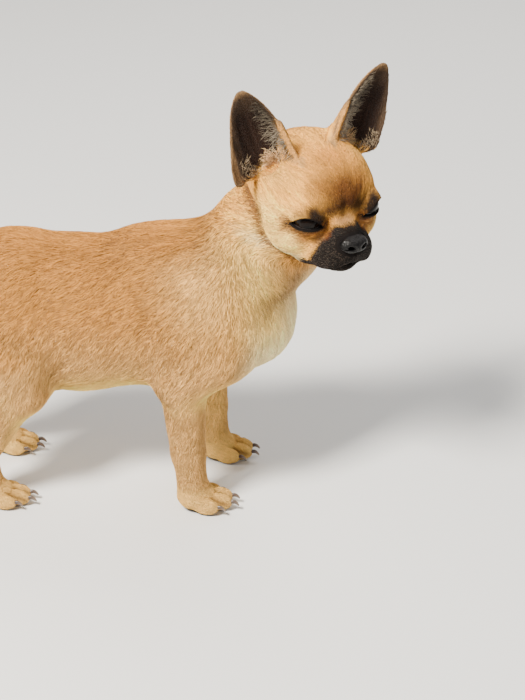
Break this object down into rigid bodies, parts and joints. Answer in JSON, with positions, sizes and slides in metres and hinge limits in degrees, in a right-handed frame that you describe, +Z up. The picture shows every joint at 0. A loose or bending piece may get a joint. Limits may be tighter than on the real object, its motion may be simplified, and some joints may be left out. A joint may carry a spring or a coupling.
{
  "type": "chihuahua puppy",
  "caption": "Still, life-size smooth-coated chihuahua puppy standing on its paws with its head turned to its right and lowered.",
  "frame": {"origin": "on the floor, under the middle of the whole model's box", "axes": "+X forward along the body, +Y to the animal's left, +Z up"},
  "size_m": [0.251, 0.0896, 0.2417],
  "materials": {
    "coat_fawn": "short, close, soft hair, sandy fawn with paler hair on the neck, chest, belly and cheeks",
    "coat_pale": "short, close hair, pale fawn",
    "coat_mask": "very short velvety hair, black-brown",
    "coat_ear": "very short velvety hair, fawn behind and dark grey-brown within",
    "nose_leather": "black, moist and finely pebbled",
    "eye_dark": "wet and clear, very dark brown",
    "claw_horn": "smooth dark horn"
  },
  "bodies": {
    "root": {"trunk": "coat_fawn", "neck": "coat_fawn", "head": "coat_fawn", "face": "coat_fawn", "lower_jaw": "coat_mask", "nose": "nose_leather", "eye_right": "eye_dark", "eye_left": "eye_dark", "ear_right": "coat_ear", "ear_left": "coat_ear", "tail": "coat_fawn", "foreleg_right": "coat_fawn", "foreleg_left": "coat_fawn", "thigh_right": "coat_fawn", "thigh_left": "coat_fawn", "hindleg_right": "coat_fawn", "hindleg_left": "coat_fawn", "forepaw_right": "coat_pale", "forepaw_left": "coat_pale", "hindpaw_right": "coat_pale", "hindpaw_left": "coat_pale", "claw_forepaw_right_1": "claw_horn", "claw_forepaw_right_2": "claw_horn", "claw_forepaw_right_3": "claw_horn", "claw_forepaw_right_4": "claw_horn", "claw_forepaw_left_1": "claw_horn", "claw_forepaw_left_2": "claw_horn", "claw_forepaw_left_3": "claw_horn", "claw_forepaw_left_4": "claw_horn", "claw_hindpaw_right_1": "claw_horn", "claw_hindpaw_right_2": "claw_horn", "claw_hindpaw_right_3": "claw_horn", "claw_hindpaw_right_4": "claw_horn", "claw_hindpaw_left_1": "claw_horn", "claw_hindpaw_left_2": "claw_horn", "claw_hindpaw_left_3": "claw_horn", "claw_hindpaw_left_4": "claw_horn"}
  },
  "joints": []
}
